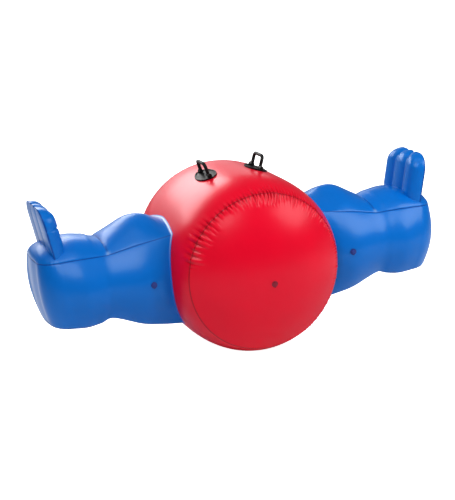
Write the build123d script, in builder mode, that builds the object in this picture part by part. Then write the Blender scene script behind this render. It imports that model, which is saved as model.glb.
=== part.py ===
"""Inflatable two-rider water seesaw: a barrel drum that rocks, two riding arms
with backrests, two grab handles and three push-in inflation valves.

Millimetres. X runs along the arms, Y along the drum's axis, Z is up, and the
origin is under the drum's centre, on the water plane that it rests on.
The front of the drum is its -Y end.
"""
import math
import os

from build123d import *

os.makedirs("parts", exist_ok=True)

# ---- Driving dimensions -------------------------------------------------
film = 1.0  # PVC sheet that every chamber is welded from
seat_gap = 0.3  # between pieces that may move against each other
weld_gap = 0.3  # the glue line under a piece that is bonded on a curved film

drum_radius = 500.0
rim_radius = 435.5  # where the wall meets the end caps
drum_length = 863.0  # rim to rim
barrel_power = 4.2  # how flat the wall stays before it turns in to the rim
cap_bulge = 140.0
rest_sink = 4.2  # how far the soft wall flattens where the drum's weight rests

# Riding arm: rows of (distance from the drum's axis, half width, top seam, bottom seam,
# crown, belly, side bulge); seam heights are measured from the drum's axis.
waist_reach = 800.0  # drum axis to the waist weld
seat_length = 375.0  # waist weld to the end seam
root_depth = 130.0  # how far inside the drum's radius the rows start
corner_radius = 120.0  # the arm's outer end, in plan
arm_length = waist_reach + seat_length
lobe_run = waist_reach - drum_radius
seat_run = seat_length - corner_radius
root_row = (drum_radius - root_depth, 212, 236, -287, 50, 18, 50)
inner_lobe_rows = [
    (drum_radius + 0.067 * lobe_run, 214, 216, -272, 95, 26, 90),
    (drum_radius + 0.467 * lobe_run, 211, 198, -248, 98, 30, 100),
]
waist_row = (waist_reach, 198, 166, -192, 20, 10, 60)
seat_rows = [
    (waist_reach + 0.314 * seat_run, 203, 165, -205, 50, 26, 75),
    (waist_reach + 0.667 * seat_run, 208, 166, -212, 80, 35, 85),
]
corner_row = (arm_length - corner_radius, 205, 165, -208, 74, 30, 70)
end_top = 156.0
end_bottom = -170.0
end_bulge = 30.0
end_tuck = 70.0  # the bottom seam stops this much short of the top seam
arm_flange_width = 14.0  # weld margin round the arm's foot

# Backrest: a three-lobed pillow on the outer end of the seat.
backrest_setback = 113.0  # from the arm's end seam to the backrest's base
backrest_width = 380.0
backrest_height = 300.0  # above the top seam of the arm
backrest_lean = 11.0  # degrees outward
lobe_depth = 50.0  # half thickness at the middle of a lobe
channel_depth = 28.0  # half thickness at a weld channel
lobe_count = 3
backrest_corner = 95.0
backrest_flange_width = 12.0

# Grab handles on the drum's shoulders.
handle_angle = 17.5  # degrees from the top of the drum
pad_length = 195.0
pad_width = 118.0
pad_thickness = 4.0
pad_rim_width = 7.0
pad_rim_height = 3.5
grip_spacing = 118.0  # leg centre to leg centre
grip_height = 66.0  # trunnion axis to the bar's axis
grip_radius = 9.5
knuckle_radius = 10.5
grip_corner = 20.0
trunnion_radius = 6.0
trunnion_length = 11.0
lug_thickness = 15.0
lug_wall = 5.0
pivot_height = 15.0  # trunnion axis above the drum's wall

# Valves: a stem that slides in a welded sleeve, a plug in its mouth, a flap inside.
stem_radius = 12.5
stem_bore = 7.5
stem_length = 30.0
lip_gap = 0.7  # under the lip, over the film's curve
lip_radius = 17.0
lip_thickness = 2.0
sleeve_wall = 2.0
sleeve_length = 22.0
flange_radius = 18.0
flange_thickness = 1.5
flange_sink = 0.8  # behind the film, which curves away from a flat flange
plug_clearance = 0.15
plug_depth = 9.0
plug_cap_radius = 10.5
plug_cap_thickness = 2.5
pull_tab = (7.0, 9.0)  # width, and reach past the plug's rim
flap_radius = 8.0
flap_thickness = 1.0
flap_pin_radius = 1.0
flap_pin_length = 12.6
flap_strap = 4.0  # from the pin down on to the flap
flap_strap_width = 7.0
flap_pin_rise = 9.0  # pin above the stem's axis
flap_pin_depth = 1.5  # pin behind the stem's inner end
ear_thickness = 2.0
ear_wall = 0.4  # round the pin's bore
ear_inside = 4.5  # from the stem's axis to an ear's inner face
running_clearance = 0.08
cap_valve_drop = 30.0  # below the centre of the front cap
arm_valve_row = 6  # the valve lies halfway to the next row, counted from the root
arm_valve_drop = 8.0

# ---- Frame of the drum --------------------------------------------------
axis_height = drum_radius - rest_sink
drum_plane = Plane((0, 0, axis_height), x_dir=(1, 0, 0), z_dir=(0, 0, 1))
drum_axis = Axis((0, 0, axis_height), (0, 1, 0))
rest_plane = Plane((0, 0, axis_height), x_dir=(0, 0, -1), z_dir=(1, 0, 0))  # through the rest
pieces = {}


def keep(name, part):
    """Label a finished piece and remember it for export."""
    part.label = name
    pieces[name] = part


def barrel_radius(y):
    """Outer radius of the drum's wall, y along its axis."""
    share = abs(2 * y / drum_length) ** barrel_power
    return rim_radius + (drum_radius - rim_radius) * (1 - share)


def barrel_curve(offset):
    """Points of the wall's profile, moved out by offset."""
    rows = [drum_length * (k / 12 - 0.5) for k in range(13)]
    return [(barrel_radius(y) + offset, y) for y in rows]


def barrel_band(start, thickness):
    """A sheet that follows the drum's wall, start outside its outer face."""
    with BuildPart() as band:
        with BuildSketch(drum_plane):
            with BuildLine():
                outer = Spline(*barrel_curve(start + thickness))
                inner = Spline(*barrel_curve(start))
                Line(outer @ 0, inner @ 0)
                Line(outer @ 1, inner @ 1)
            make_face()
        revolve(axis=drum_axis)
    return band.part


def barrel_body(offset=0):
    """The drum's wall as a filled solid, its skin moved out by offset."""
    with BuildPart() as body:
        with BuildSketch(rest_plane):
            with BuildLine():
                outer = Spline(*barrel_curve(offset))
                Polyline(outer @ 1, (0, drum_length / 2), (0, -drum_length / 2), outer @ 0)
            make_face()
        revolve(axis=drum_axis)
    return body.part


def dome(side, depth):
    """Filled end dome on the +Y (1) or -Y (-1) rim, its skin moved in by depth."""
    rim = side * drum_length / 2
    edge = rim_radius - depth
    height = cap_bulge - depth
    sphere = (edge**2 + height**2) / (2 * height)
    half_turn = math.asin(edge / sphere) / 2
    shoulder = height - sphere + sphere * math.cos(half_turn)
    with BuildPart() as form:
        with BuildSketch(drum_plane):
            with BuildLine():
                skin = ThreePointArc(
                    (edge, rim),
                    (sphere * math.sin(half_turn), rim + side * shoulder),
                    (0, rim + side * height),
                )
                Polyline(skin @ 1, (0, rim), skin @ 0)
            make_face()
        revolve(axis=drum_axis)
    return form.part


# ---- Drum ---------------------------------------------------------------
drum_body = barrel_body()
drum_core = barrel_body(-film)
with BuildPart() as drum_air:
    add(drum_core)
    split(bisect_by=Plane.XY.offset(film), keep=Keep.TOP)
with BuildPart() as drum_wall:
    add(drum_body)
    split(bisect_by=Plane.XY, keep=Keep.TOP)
    add(drum_air.part, mode=Mode.SUBTRACT)
keep("drum_wall", drum_wall.part)

for cap_name, side in (("drum_front_cap", -1), ("drum_rear_cap", 1)):
    outer_dome = dome(side, 0)
    inner_dome = dome(side, film)
    with BuildPart() as cap:
        add(outer_dome)
        add(inner_dome, mode=Mode.SUBTRACT)
    keep(cap_name, cap.part)


# ---- Riding arm ---------------------------------------------------------
blend_steps = 4  # pieces that each gap between two listed rows is divided into
corner_steps = [15, 30, 45, 60, 75, 90]  # degrees round the outer corner


def blended(rows):
    """The rows with blend_steps - 1 more in each gap, on a smooth curve through them."""
    smooth = []
    for index in range(len(rows) - 1):
        before = rows[max(index - 1, 0)]
        here, after = rows[index], rows[index + 1]
        beyond = rows[min(index + 2, len(rows) - 1)]
        for step in range(blend_steps):
            t = step / blend_steps
            smooth.append(
                tuple(
                    b
                    + t * (c - a) / 2
                    + t**2 * (a - 2.5 * b + 2 * c - d / 2)
                    + t**3 * (1.5 * (b - c) + (d - a) / 2)
                    for a, b, c, d in zip(before, here, after, beyond)
                )
            )
    return smooth + [rows[-1]]


def arm_rows():
    """Every row of the arm, root to end: the listed ones, then the rounded corner."""
    rows = blended([root_row, *inner_lobe_rows, waist_row, *seat_rows, corner_row])
    start, width, top, bottom, crown, belly, bulge = corner_row
    for angle in corner_steps:
        turn = math.radians(angle)
        share = angle / 90
        rows.append(
            (
                start + corner_radius * math.sin(turn),
                width - corner_radius + corner_radius * math.cos(turn),
                top + (end_top - top) * share,
                bottom + (end_bottom - bottom) * share,
                max(crown * math.cos(turn), 3),
                max(belly * math.cos(turn), 3),
                bulge + (end_bulge - bulge) * share,
            )
        )
    return rows


def tucked(reach):
    """Where a row of the bottom seam lies, drawn in towards the outer end."""
    share = (reach - waist_row[0]) / (corner_row[0] - waist_row[0])
    return reach - end_tuck * min(max(share, 0), 1)


def cross_plane(reach):
    """Plane across the arm: local x is Y and local y is Z, from the drum's axis."""
    return Plane((reach, 0, axis_height), x_dir=(0, 1, 0), z_dir=(1, 0, 0))


def arm_sheet(stations):
    """Bowed sheet through stations of (reach, half width, seam height, rise).

    The outer face runs through the seam points; a negative rise bows it down.
    """
    with BuildPart() as sheet:
        for reach, half_width, seam, rise in stations:
            inward = -math.copysign(film, rise)
            with BuildSketch(cross_plane(reach)):
                with BuildLine():
                    outer = ThreePointArc(
                        (-half_width, seam), (0, seam + rise), (half_width, seam)
                    )
                    inner = ThreePointArc(
                        (-half_width, seam + inward),
                        (0, seam + rise + inward),
                        (half_width, seam + inward),
                    )
                    Line(outer @ 0, inner @ 0)
                    Line(outer @ 1, inner @ 1)
                make_face()
        loft(ruled=True)
        add(drum_body, mode=Mode.SUBTRACT)
    return sheet.part


def arm_tube(rows, growth):
    """The arm's filled tube through these rows, grown by growth: one row gives a thin slice."""
    with BuildPart() as form:
        for reach, width, top, bottom, crown, belly, bulge in rows:
            wide = width + growth
            high = top + growth
            low = bottom - growth
            middle = (high + low) / 2
            with BuildSketch(cross_plane(reach)):
                with BuildLine():
                    ThreePointArc((-wide, high), (0, high + crown), (wide, high))
                    ThreePointArc((wide, high), (wide + bulge, middle), (wide, low))
                    ThreePointArc((wide, low), (0, low - belly), (-wide, low))
                    ThreePointArc((-wide, low), (-wide - bulge, middle), (-wide, high))
                make_face()
        if len(rows) == 1:
            extrude(amount=film)
        else:
            loft(ruled=True)
    return form.part


def wall_stations():
    """Top, middle and bottom points of the side wall, front root round to rear root."""
    stations = []
    for index, row in enumerate(arm_rows()):
        reach, width, top, bottom, _, _, bulge = row
        corner = index - len(arm_rows()) + len(corner_steps)
        turn = math.radians(corner_steps[corner]) if corner >= 0 else 0
        low = tucked(reach)
        middle = (
            (reach + low) / 2 + bulge * math.sin(turn),
            width + bulge * math.cos(turn),
            (top + bottom) / 2,
        )
        stations.append(((reach, width, top), middle, (low, width, bottom)))
    front = [[(x, -y, z) for x, y, z in station] for station in stations]
    _, (end_reach, _, end_middle), _ = stations[-1]
    end = [
        (arm_length, 0, end_top),
        (end_reach, 0, end_middle),
        (arm_length - end_tuck, 0, end_bottom),
    ]
    return front + [end] + stations[::-1]


root_rows = blended([root_row, *inner_lobe_rows, waist_row])[: 2 * blend_steps + 1]
root_core = arm_tube(root_rows, -film)
root_outer = arm_tube(root_rows, 0)
root_wide = arm_tube(root_rows, arm_flange_width)
arm_baffle = arm_tube([waist_row], -film - seat_gap)
arm_top = arm_sheet([(reach, width, top, crown) for reach, width, top, _, crown, _, _ in arm_rows()])
arm_bottom = arm_sheet(
    [(tucked(reach), width, bottom, -belly) for reach, width, _, bottom, _, belly, _ in arm_rows()]
)

with BuildPart() as arm_wall:
    for station in wall_stations():
        high, middle, low = (Vector(*point) + Vector(0, 0, axis_height) for point in station)
        down = (low - high).normalized()
        reach_down = (middle - high).dot(down)
        sideways = (middle - high) - down * reach_down
        out = sideways.normalized()
        with BuildSketch(Plane(high, x_dir=down, z_dir=down.cross(out))):
            with BuildLine():
                span = (low - high).length
                outer = ThreePointArc((0, 0), (reach_down, sideways.length), (span, 0))
                inner = ThreePointArc(
                    (0, -film), (reach_down, sideways.length - film), (span, -film)
                )
                Line(outer @ 0, inner @ 0)
                Line(outer @ 1, inner @ 1)
            make_face()
    loft(ruled=True)
    add(drum_body, mode=Mode.SUBTRACT)

saddle_band = barrel_band(weld_gap, film)
with BuildPart() as arm_saddle:
    add(saddle_band)
    add(root_core, mode=Mode.INTERSECT)

with BuildPart() as arm_flange:
    add(saddle_band)
    add(root_wide, mode=Mode.INTERSECT)
    add(root_outer, mode=Mode.SUBTRACT)


# ---- Backrest -----------------------------------------------------------
backrest_base = Plane(
    (arm_length - backrest_setback, 0, axis_height + corner_row[2]), x_dir=(0, 1, 0), z_dir=(1, 0, 0)
).rotated((0, backrest_lean, 0))
lobe_width = backrest_width / lobe_count


def backrest_form(inset):
    """The backrest's pillow as a filled solid, its skin moved in by inset."""
    half = backrest_width / 2
    section_plane = Plane(
        backrest_base.origin, x_dir=backrest_base.x_dir, z_dir=backrest_base.y_dir
    )
    side_plane = Plane(
        backrest_base.origin, x_dir=backrest_base.y_dir, z_dir=backrest_base.x_dir
    )
    with BuildPart() as form:
        with BuildSketch(section_plane):
            for face in (-1, 1):
                with BuildLine():
                    for lobe in range(lobe_count):
                        left = -half + lobe * lobe_width
                        right = left + lobe_width
                        start = 0 if lobe == 0 else channel_depth
                        finish = 0 if lobe == lobe_count - 1 else channel_depth
                        ThreePointArc(
                            (left, face * start),
                            ((left + right) / 2, face * lobe_depth),
                            (right, face * finish),
                        )
                    Line((-half, 0), (half, 0))
                make_face()
            if inset != 0:
                offset(amount=-inset, mode=Mode.REPLACE)
        extrude(amount=backrest_height - inset)
        with BuildSketch(backrest_base):
            with Locations((0, (backrest_height - inset - backrest_corner) / 2)):
                RectangleRounded(
                    backrest_width - 2 * inset,
                    backrest_height - inset + backrest_corner,
                    backrest_corner - inset,
                )
        extrude(amount=2 * lobe_depth, both=True, mode=Mode.INTERSECT)
    return form.part


pillow = backrest_form(0)
pillow_core = backrest_form(film)
pillow_wide = backrest_form(-backrest_flange_width)
seat_stations = [row for row in arm_rows() if row[0] > waist_row[0]]
seat_fill = arm_tube(seat_stations, 0)
seat_bond = arm_tube(seat_stations, weld_gap)
seat_skin = arm_tube(seat_stations, weld_gap + film)

with BuildPart() as backrest_front:
    add(pillow)
    add(pillow_core, mode=Mode.SUBTRACT)
    split(bisect_by=backrest_base, keep=Keep.BOTTOM)
    add(seat_fill, mode=Mode.SUBTRACT)

with BuildPart() as backrest_rear:
    add(pillow)
    add(pillow_core, mode=Mode.SUBTRACT)
    split(bisect_by=backrest_base, keep=Keep.TOP)
    add(seat_fill, mode=Mode.SUBTRACT)

web_plane = Plane(
    backrest_base.origin, x_dir=backrest_base.x_dir, z_dir=backrest_base.y_dir
)
with BuildPart() as backrest_webs:
    with BuildSketch(web_plane):
        with GridLocations(lobe_width, 0, lobe_count - 1, 1):
            Rectangle(film, 2 * lobe_depth)
    extrude(amount=backrest_height - backrest_corner)
    add(pillow_core, mode=Mode.INTERSECT)
    add(seat_fill, mode=Mode.SUBTRACT)

with BuildPart() as backrest_flange:
    add(seat_skin)
    add(seat_bond, mode=Mode.SUBTRACT)
    add(pillow_wide, mode=Mode.INTERSECT)
    add(pillow, mode=Mode.SUBTRACT)


# ---- Grab handle --------------------------------------------------------
tilt = math.radians(handle_angle)
handle_foot = (drum_radius * math.sin(tilt), 0, axis_height + drum_radius * math.cos(tilt))
handle_plane = Plane(
    handle_foot, x_dir=(math.cos(tilt), 0, -math.sin(tilt)), z_dir=(math.sin(tilt), 0, math.cos(tilt))
)
grip_plane = Plane(handle_foot, x_dir=(0, 1, 0), z_dir=handle_plane.x_dir)
knuckle_end = grip_spacing / 2 + knuckle_radius
lug_start = knuckle_end + seat_gap
bore_radius = trunnion_radius + running_clearance
lug_radius = bore_radius + lug_wall

pad_base_band = barrel_band(weld_gap, pad_thickness)
pad_rim_band = barrel_band(weld_gap, pad_thickness + pad_rim_height)

with BuildPart() as pad_column:
    with BuildSketch(handle_plane.offset(-pad_width / 4)):
        Ellipse(pad_width / 2, pad_length / 2)
    extrude(amount=pad_width / 2)

with BuildPart() as pad_ring:
    with BuildSketch(handle_plane.offset(-pad_width / 4)):
        Ellipse(pad_width / 2, pad_length / 2)
        Ellipse(pad_width / 2 - pad_rim_width, pad_length / 2 - pad_rim_width, mode=Mode.SUBTRACT)
    extrude(amount=pad_width / 2)
    add(pad_rim_band, mode=Mode.INTERSECT)


def across_handle(y):
    """Plane square to the drum's axis at y: local x is along the wall, local y is outward."""
    return Plane(handle_plane.from_local_coords((0, y, 0)), x_dir=handle_plane.x_dir, z_dir=(0, -1, 0))


with BuildPart() as handle_pad:
    add(pad_base_band)
    add(pad_column.part, mode=Mode.INTERSECT)
    add(pad_ring.part)
    for side in (-1, 1):
        near = side * lug_start
        far = side * (lug_start + lug_thickness)
        with BuildSketch(across_handle(max(near, far))):
            with Locations((0, pivot_height)):
                Circle(lug_radius)
            with Locations((0, (pivot_height + pad_thickness / 2) / 2)):
                Rectangle(2 * lug_radius, pivot_height - pad_thickness / 2)
        extrude(amount=lug_thickness)
    for side in (-1, 1):
        bore_end = side * (lug_start + trunnion_length)
        with BuildSketch(across_handle(max(side * lug_start, bore_end))):
            with Locations((0, pivot_height)):
                Circle(bore_radius)
        extrude(amount=trunnion_length, mode=Mode.SUBTRACT)

with BuildPart() as handle_grip:
    with BuildLine(grip_plane) as grip_path:
        leg = grip_spacing / 2
        bar = pivot_height + grip_height
        FilletPolyline(
            (-leg, pivot_height), (-leg, bar), (leg, bar), (leg, pivot_height), radius=grip_corner
        )
    with BuildSketch(Plane(grip_path.line @ 0, z_dir=grip_path.line % 0)):
        Circle(grip_radius)
    sweep()
    for side in (-1, 1):
        with BuildSketch(across_handle(side * leg + knuckle_radius)):
            with Locations((0, pivot_height)):
                Circle(knuckle_radius)
        extrude(amount=2 * knuckle_radius)
        trunnion_end = lug_start + trunnion_length - seat_gap
        with BuildSketch(across_handle(max(side * leg, side * trunnion_end))):
            with Locations((0, pivot_height)):
                Circle(trunnion_radius)
        extrude(amount=trunnion_end - leg)


# ---- Valves -------------------------------------------------------------
sleeve_bore = stem_radius + seat_gap
flange_face = -film - flange_sink
stem_top = lip_gap + lip_thickness
stem_end = stem_top - stem_length
plug_seat = stem_top + seat_gap
pin_height = stem_end - flap_pin_depth


def keep_valve(prefix, plane):
    """Seat, stem, plug and check flap on a plane in the film's outer face, z outward."""
    with BuildPart() as seat:
        with BuildSketch(plane.offset(flange_face)):
            Circle(flange_radius)
            Circle(sleeve_bore, mode=Mode.SUBTRACT)
        extrude(amount=-flange_thickness)
        with BuildSketch(plane.offset(flange_face)):
            Circle(sleeve_bore + sleeve_wall)
            Circle(sleeve_bore, mode=Mode.SUBTRACT)
        extrude(amount=-sleeve_length)
    keep(f"{prefix}_valve_seat", seat.part)

    with BuildPart() as stem:
        with BuildSketch(plane.offset(lip_gap)):
            Circle(lip_radius)
        extrude(amount=lip_thickness)
        with BuildSketch(plane.offset(stem_top)):
            Circle(stem_radius)
        extrude(amount=-stem_length)
        with BuildSketch(plane.offset(stem_top)):
            Circle(stem_bore)
        extrude(amount=-stem_length, mode=Mode.SUBTRACT)
        ear_half = flap_pin_radius + ear_wall
        with BuildSketch(plane.offset(stem_end)):
            for side in (-1, 1):
                with Locations((side * (ear_inside + ear_thickness / 2), flap_pin_rise)):
                    Rectangle(ear_thickness, 2 * ear_half)
        extrude(amount=-flap_pin_depth - ear_half)
        pin_start = plane.from_local_coords((-stem_radius, flap_pin_rise, pin_height))
        with BuildSketch(Plane(pin_start, x_dir=plane.y_dir, z_dir=plane.x_dir)):
            Circle(flap_pin_radius + running_clearance)
        extrude(amount=2 * stem_radius, mode=Mode.SUBTRACT)
    keep(f"{prefix}_valve_stem", stem.part)

    with BuildPart() as plug:
        with BuildSketch(plane.offset(plug_seat)):
            Circle(plug_cap_radius)
            tab_width, tab_reach = pull_tab
            with Locations((0, -plug_cap_radius)):
                SlotOverall(2 * tab_reach, tab_width, rotation=90)
        extrude(amount=plug_cap_thickness)
        with BuildSketch(plane.offset(plug_seat)):
            Circle(stem_bore - plug_clearance)
        extrude(amount=-plug_depth)
    keep(f"{prefix}_valve_plug", plug.part)

    with BuildPart() as flap:
        with BuildSketch(plane.offset(stem_end - seat_gap)):
            Circle(flap_radius)
        extrude(amount=-flap_thickness)
        pin_start = plane.from_local_coords((-flap_pin_length / 2, flap_pin_rise, pin_height))
        with BuildSketch(Plane(pin_start, x_dir=plane.y_dir, z_dir=plane.x_dir)):
            Circle(flap_pin_radius)
        extrude(amount=flap_pin_length)
        with BuildSketch(plane.offset(pin_height + flap_pin_radius)):
            with Locations((0, flap_pin_rise - flap_strap / 2)):
                Rectangle(flap_strap_width, flap_strap)
        extrude(amount=-flap_pin_radius)
    keep(f"{prefix}_valve_flap", flap.part)


def valve_hole(plane):
    """The film's hole round a stem."""
    with BuildPart() as hole:
        with BuildSketch(plane.offset(lip_radius)):
            Circle(sleeve_bore)
        extrude(amount=-2 * lip_radius)
    return hole.part


cap_sphere = (rim_radius**2 + cap_bulge**2) / (2 * cap_bulge)
cap_centre = Vector(0, cap_sphere - cap_bulge - drum_length / 2, axis_height)
cap_slope = math.asin(cap_valve_drop / cap_sphere)
cap_out = Vector(0, -math.cos(cap_slope), -math.sin(cap_slope))
cap_valve_plane = Plane(cap_centre + cap_out * cap_sphere, x_dir=(1, 0, 0), z_dir=cap_out)


def wall_bow(row):
    """Radius, centre's distance from the arm's middle, and centre's height of a row's side arc."""
    _, width, top, bottom, _, _, bulge = row
    half_chord = (top - bottom) / 2
    radius = (half_chord**2 + bulge**2) / (2 * bulge)
    return radius, width + bulge - radius, (top + bottom) / 2


bows = [wall_bow(row) for row in arm_rows()[arm_valve_row : arm_valve_row + 2]]
bow_radius, bow_middle, bow_height = (sum(values) / 2 for values in zip(*bows))
valve_reach = (arm_rows()[arm_valve_row][0] + arm_rows()[arm_valve_row + 1][0]) / 2
valve_tilt = math.asin((-arm_valve_drop - bow_height) / bow_radius)


def arm_valve_plane(side):
    """Plane of an arm's valve in the film's outer face: right is 1, left is -1."""
    out = Vector(0, -math.cos(valve_tilt), math.sin(valve_tilt))
    centre = Vector(side * valve_reach, -bow_middle, axis_height + bow_height)
    return Plane(centre + out * bow_radius, x_dir=(1, 0, 0), z_dir=out)


keep_valve("drum", cap_valve_plane)
keep_valve("right", arm_valve_plane(1))
keep_valve("left", arm_valve_plane(-1))

cap_hole = valve_hole(cap_valve_plane)
arm_hole = valve_hole(arm_valve_plane(1))
with BuildPart() as front_cap:
    add(pieces["drum_front_cap"])
    add(cap_hole, mode=Mode.SUBTRACT)
keep("drum_front_cap", front_cap.part)
with BuildPart() as pierced_wall:
    add(arm_wall.part)
    add(arm_hole, mode=Mode.SUBTRACT)


# ---- The right side, and its mirror image on the left -------------------
sided = {
    "arm_top_panel": arm_top,
    "arm_bottom_panel": arm_bottom,
    "arm_side_wall": pierced_wall.part,
    "arm_inner_end": arm_saddle.part,
    "arm_weld_flange": arm_flange.part,
    "arm_waist_baffle": arm_baffle,
    "backrest_front_panel": backrest_front.part,
    "backrest_rear_panel": backrest_rear.part,
    "backrest_webs": backrest_webs.part,
    "backrest_weld_flange": backrest_flange.part,
    "handle_pad": handle_pad.part,
    "handle_grip": handle_grip.part,
}
for name, part in sided.items():
    keep(f"right_{name}", part)
    keep(f"left_{name}", mirror(part, about=Plane.YZ))

for name, part in pieces.items():
    export_step(part, f"parts/{name}.step")
print(len(pieces), "pieces")
print("cap valve", cap_valve_plane.origin, cap_out)
print("arm valve", arm_valve_plane(1).origin, arm_valve_plane(1).z_dir)
print("stem end", stem_end, "pin height", pin_height)
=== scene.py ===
"""Looks of an inflatable two-rider water seesaw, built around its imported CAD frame.

Metres. X runs along the arms, Y along the drum's axis, Z is up, and the drum rests on Z 0.
The front of the drum is its -Y end. Every film panel is a closed sheet a millimetre thick.
"""
import math

import bpy
import numpy as np
from bpy.props import FloatProperty, FloatVectorProperty, IntProperty, PointerProperty
from mathutils import Matrix, Vector


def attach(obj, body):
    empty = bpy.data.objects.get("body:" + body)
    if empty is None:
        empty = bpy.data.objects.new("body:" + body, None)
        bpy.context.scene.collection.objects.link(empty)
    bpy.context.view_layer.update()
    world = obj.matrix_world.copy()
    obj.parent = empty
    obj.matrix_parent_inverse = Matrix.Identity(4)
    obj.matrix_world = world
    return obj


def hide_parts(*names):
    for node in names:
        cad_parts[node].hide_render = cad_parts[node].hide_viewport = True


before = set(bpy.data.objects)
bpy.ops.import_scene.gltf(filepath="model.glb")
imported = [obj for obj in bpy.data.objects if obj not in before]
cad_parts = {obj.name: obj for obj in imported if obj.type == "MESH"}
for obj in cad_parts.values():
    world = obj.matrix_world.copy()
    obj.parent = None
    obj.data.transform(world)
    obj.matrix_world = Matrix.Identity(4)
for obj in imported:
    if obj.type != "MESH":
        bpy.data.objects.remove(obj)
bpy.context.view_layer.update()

bl_info = {
    "name": "Inflatable water seesaw",
    "version": (1, 0, 0),
    "blender": (4, 5, 0),
    "location": "View3D > Sidebar > Seesaw",
    "description": "Builds a barrel drum seesaw with riding arms, backrests, handles and valves",
    "category": "Add Mesh",
}

# ---- The object's own sizes ----------------------------------------------
# They are those of its CAD source, except where a comment says otherwise.
FILM = 0.001
DRUM_RADIUS = 0.5
RIM_RADIUS = 0.4355
DRUM_LENGTH = 0.863
BARREL_POWER = 4.2
CAP_BULGE = 0.140
REST_SINK = 0.0042  # how far the soft wall flattens where the drum's weight rests
AXIS_HEIGHT = DRUM_RADIUS - REST_SINK

# Rows of the arm: distance from the drum's axis, half width, top seam, bottom seam,
# crown, belly, side bulge. Seam heights are measured from the drum's axis. The rows differ
# from the CAD's by up to 34 mm, most in the crown: lower at the root, higher at the waist.
ROOT_ROW = (0.370, 0.212, 0.236, -0.287, 0.016, 0.018, 0.050)
INNER_LOBE_ROWS = [
    (0.460, 0.213, 0.224, -0.279, 0.056, 0.022, 0.068),
    (0.540, 0.214, 0.213, -0.268, 0.101, 0.027, 0.092),
    (0.640, 0.211, 0.198, -0.248, 0.112, 0.030, 0.100),
]
WAIST_ROW = (0.800, 0.198, 0.166, -0.192, 0.048, 0.010, 0.080)
SEAT_ROWS = [
    (0.880, 0.203, 0.165, -0.205, 0.072, 0.026, 0.078),
    (0.970, 0.208, 0.166, -0.212, 0.088, 0.035, 0.082),
]
# The outer end is squarer than in the CAD: tighter corners, a lower bottom seam, less tuck.
CORNER_RADIUS = 0.105
CORNER_ROW = (1.175 - CORNER_RADIUS, 0.206, 0.163, -0.208, 0.074, 0.024, 0.064)
END_TOP = 0.156
END_BOTTOM = -0.194
END_BULGE = 0.017
END_TUCK = 0.040
WALL_HEIGHT = 0.42  # of an arm's side wall, about
FOOT_TOP = 0.235  # height of the foot's top seam, about
ARM_FLANGE_WIDTH = 0.011  # 3 mm narrower than in the CAD
INNER_END_OUT = 2.2 * FILM  # keeps an arm's inner end clear of the drum's film

BACKREST_PLACE = 1.062
BACKREST_WIDTH = 0.380
BACKREST_HEIGHT = 0.300
BACKREST_LEAN = math.radians(11)
FRONT_LOBE_DEPTH = 0.050
REAR_LOBE_DEPTH = 0.035  # 15 mm less than in the CAD
CHANNEL_DEPTH = 0.028
LOBE_COUNT = 3
BACKREST_CORNER = 0.095

# How far a seam's pressed groove, its dark line, and a rim's dark line reach to each side.
# A dark line is the weld's own darker line with painted shade of its groove.
GROOVE_REACH = 0.0028
SEAM_REACH = 0.0026
RIM_SEAM_REACH = 0.0034
SHARP_ANGLE = math.radians(62)  # edges that turn more than this are shaded sharp

SIDES = {"right": 1, "left": -1}


# ---- Nodes and materials --------------------------------------------------
def linear(colour):
    """An sRGB hex colour as linear red, green, blue and alpha."""
    channels = [(colour >> shift & 255) / 255 for shift in (16, 8, 0)]
    return [c / 12.92 if c <= 0.04045 else ((c + 0.055) / 1.055) ** 2.4 for c in channels] + [1.0]


def per_metre(millimetres):
    """Texture scale whose pattern repeats about once in that many millimetres."""
    return 1000 / millimetres


def add_node(tree, kind, inputs=None, **settings):
    """Add a node with its settings; inputs takes sockets to link and values to set."""
    node = tree.nodes.new(kind)
    for key, value in settings.items():
        setattr(node, key, value)
    for key, value in (inputs or {}).items():
        if isinstance(value, bpy.types.NodeSocket):
            tree.links.new(value, node.inputs[key])
        else:
            node.inputs[key].default_value = value
    return node


def new_material(name):
    """An empty node material: its tree, and the object's own coordinates in metres."""
    material = bpy.data.materials.new(name)
    material.use_nodes = True
    material.node_tree.nodes.clear()
    place = add_node(material.node_tree, "ShaderNodeTexCoord").outputs["Object"]
    return material, material.node_tree, place


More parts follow.
